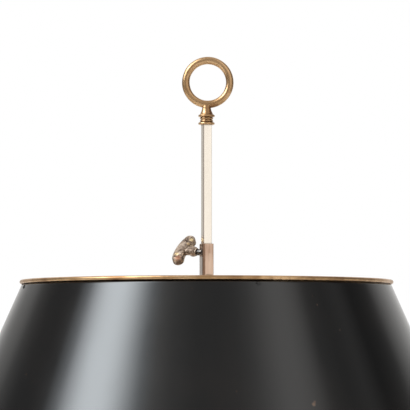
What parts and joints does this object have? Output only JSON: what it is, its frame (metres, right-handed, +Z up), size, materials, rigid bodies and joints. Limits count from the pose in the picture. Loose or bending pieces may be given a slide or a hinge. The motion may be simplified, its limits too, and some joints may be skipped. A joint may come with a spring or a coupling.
{
  "type": "bouillotte lamp",
  "caption": "Brass table lamp with candle arms on a dish base and a black cone shade that slides on a square rod and locks with a winged key.",
  "frame": {"origin": "middle of the underside of the felt under the base, on the lamp's axis", "axes": "+Z up along the rod; the square rod's faces look along X and Y, the cord's hole faces +Y, and the pictured side is -Y turned 17.4 degrees towards -X"},
  "size_m": [0.5025, 0.5026, 0.8301],
  "materials": {
    "aged_brass": "satin, darkened in the hollows",
    "rod_silver": "worn silver plate, satin",
    "sleeve_bronze": "worn pinkish bronze, satin",
    "key_bronze": "worn cast bronze",
    "black_tole": "black lacquer, semi-gloss",
    "zinc_steel": "plain",
    "weight_iron": "as cast",
    "felt": "matt",
    "black_plastic": "moulded",
    "candle_cream": "satin",
    "holder_plastic": "moulded",
    "terminal_ceramic": "unglazed",
    "cap_metal": "satin",
    "opal_glass": "opal",
    "lead_insulation": "smooth"
  },
  "bodies": {
    "stand": {"felt_pad": "felt", "base_weight": "weight_iron", "base_dish": "aged_brass", "cord_bushing": "black_plastic", "base_washer": "zinc_steel", "base_nut": "zinc_steel", "stem_tube": "zinc_steel", "column_foot": "aged_brass", "column": "aged_brass", "capital": "aged_brass", "hub": "aged_brass", "hub_cap": "aged_brass", "terminal_ring": "terminal_ceramic", "switch_body": "black_plastic", "switch_nut": "aged_brass", "arm_lock_nuts": "zinc_steel", "rod_socket": "aged_brass", "square_rod": "rod_silver", "ring_finial": "aged_brass", "arm_1": "aged_brass", "holder_lead_1": "lead_insulation", "drip_pan_1": "aged_brass", "candle_cup_1": "aged_brass", "candle_tube_1": "candle_cream", "lamp_holder_1": "holder_plastic", "bulb_cap_1": "cap_metal", "bulb_glass_1": "opal_glass", "arm_2": "aged_brass", "holder_lead_2": "lead_insulation", "drip_pan_2": "aged_brass", "candle_cup_2": "aged_brass", "candle_tube_2": "candle_cream", "lamp_holder_2": "holder_plastic", "bulb_cap_2": "cap_metal", "bulb_glass_2": "opal_glass", "arm_3": "aged_brass", "holder_lead_3": "lead_insulation", "drip_pan_3": "aged_brass", "candle_cup_3": "aged_brass", "candle_tube_3": "candle_cream", "lamp_holder_3": "holder_plastic", "bulb_cap_3": "cap_metal", "bulb_glass_3": "opal_glass"},
    "switch_knob": {"switch_knob": "aged_brass", "switch_shaft": "aged_brass"},
    "shade": {"shade_sleeve": "sleeve_bronze", "spider": "aged_brass", "spider_rivets": "aged_brass", "shade_shell": "black_tole", "shade_top_bead": "aged_brass", "shade_bottom_bead": "aged_brass"},
    "clamp_screw": {"clamp_screw": "zinc_steel"},
    "clamp_key": {"clamp_key": "key_bronze"}
  },
  "joints": [
    {"name": "shade_slide", "type": "slide", "parent": "stand", "child": "shade", "axis": [0, 0, 1], "range_m": [-0.291, 0.109]},
    {"name": "screw_travel", "type": "slide", "parent": "shade", "child": "clamp_screw", "axis": [-0.7002, 0.7002, 0.1392], "range_m": [0, 0.0011]},
    {"name": "key_turn", "type": "hinge", "parent": "clamp_screw", "child": "clamp_key", "pos_m": [0, 0, 0.6485], "axis": [-0.7002, 0.7002, 0.1392], "range_deg": [0, 540]},
    {"name": "switch_turn", "type": "hinge", "parent": "stand", "child": "switch_knob", "pos_m": [0, 0, 0.276], "axis": [0.7071, -0.7071, 0], "range_deg": [0, 90]}
  ],
  "couplings": [
    {"joint": "screw_travel", "follows": "key_turn", "m_per_rad": 0.00011141}
  ]
}
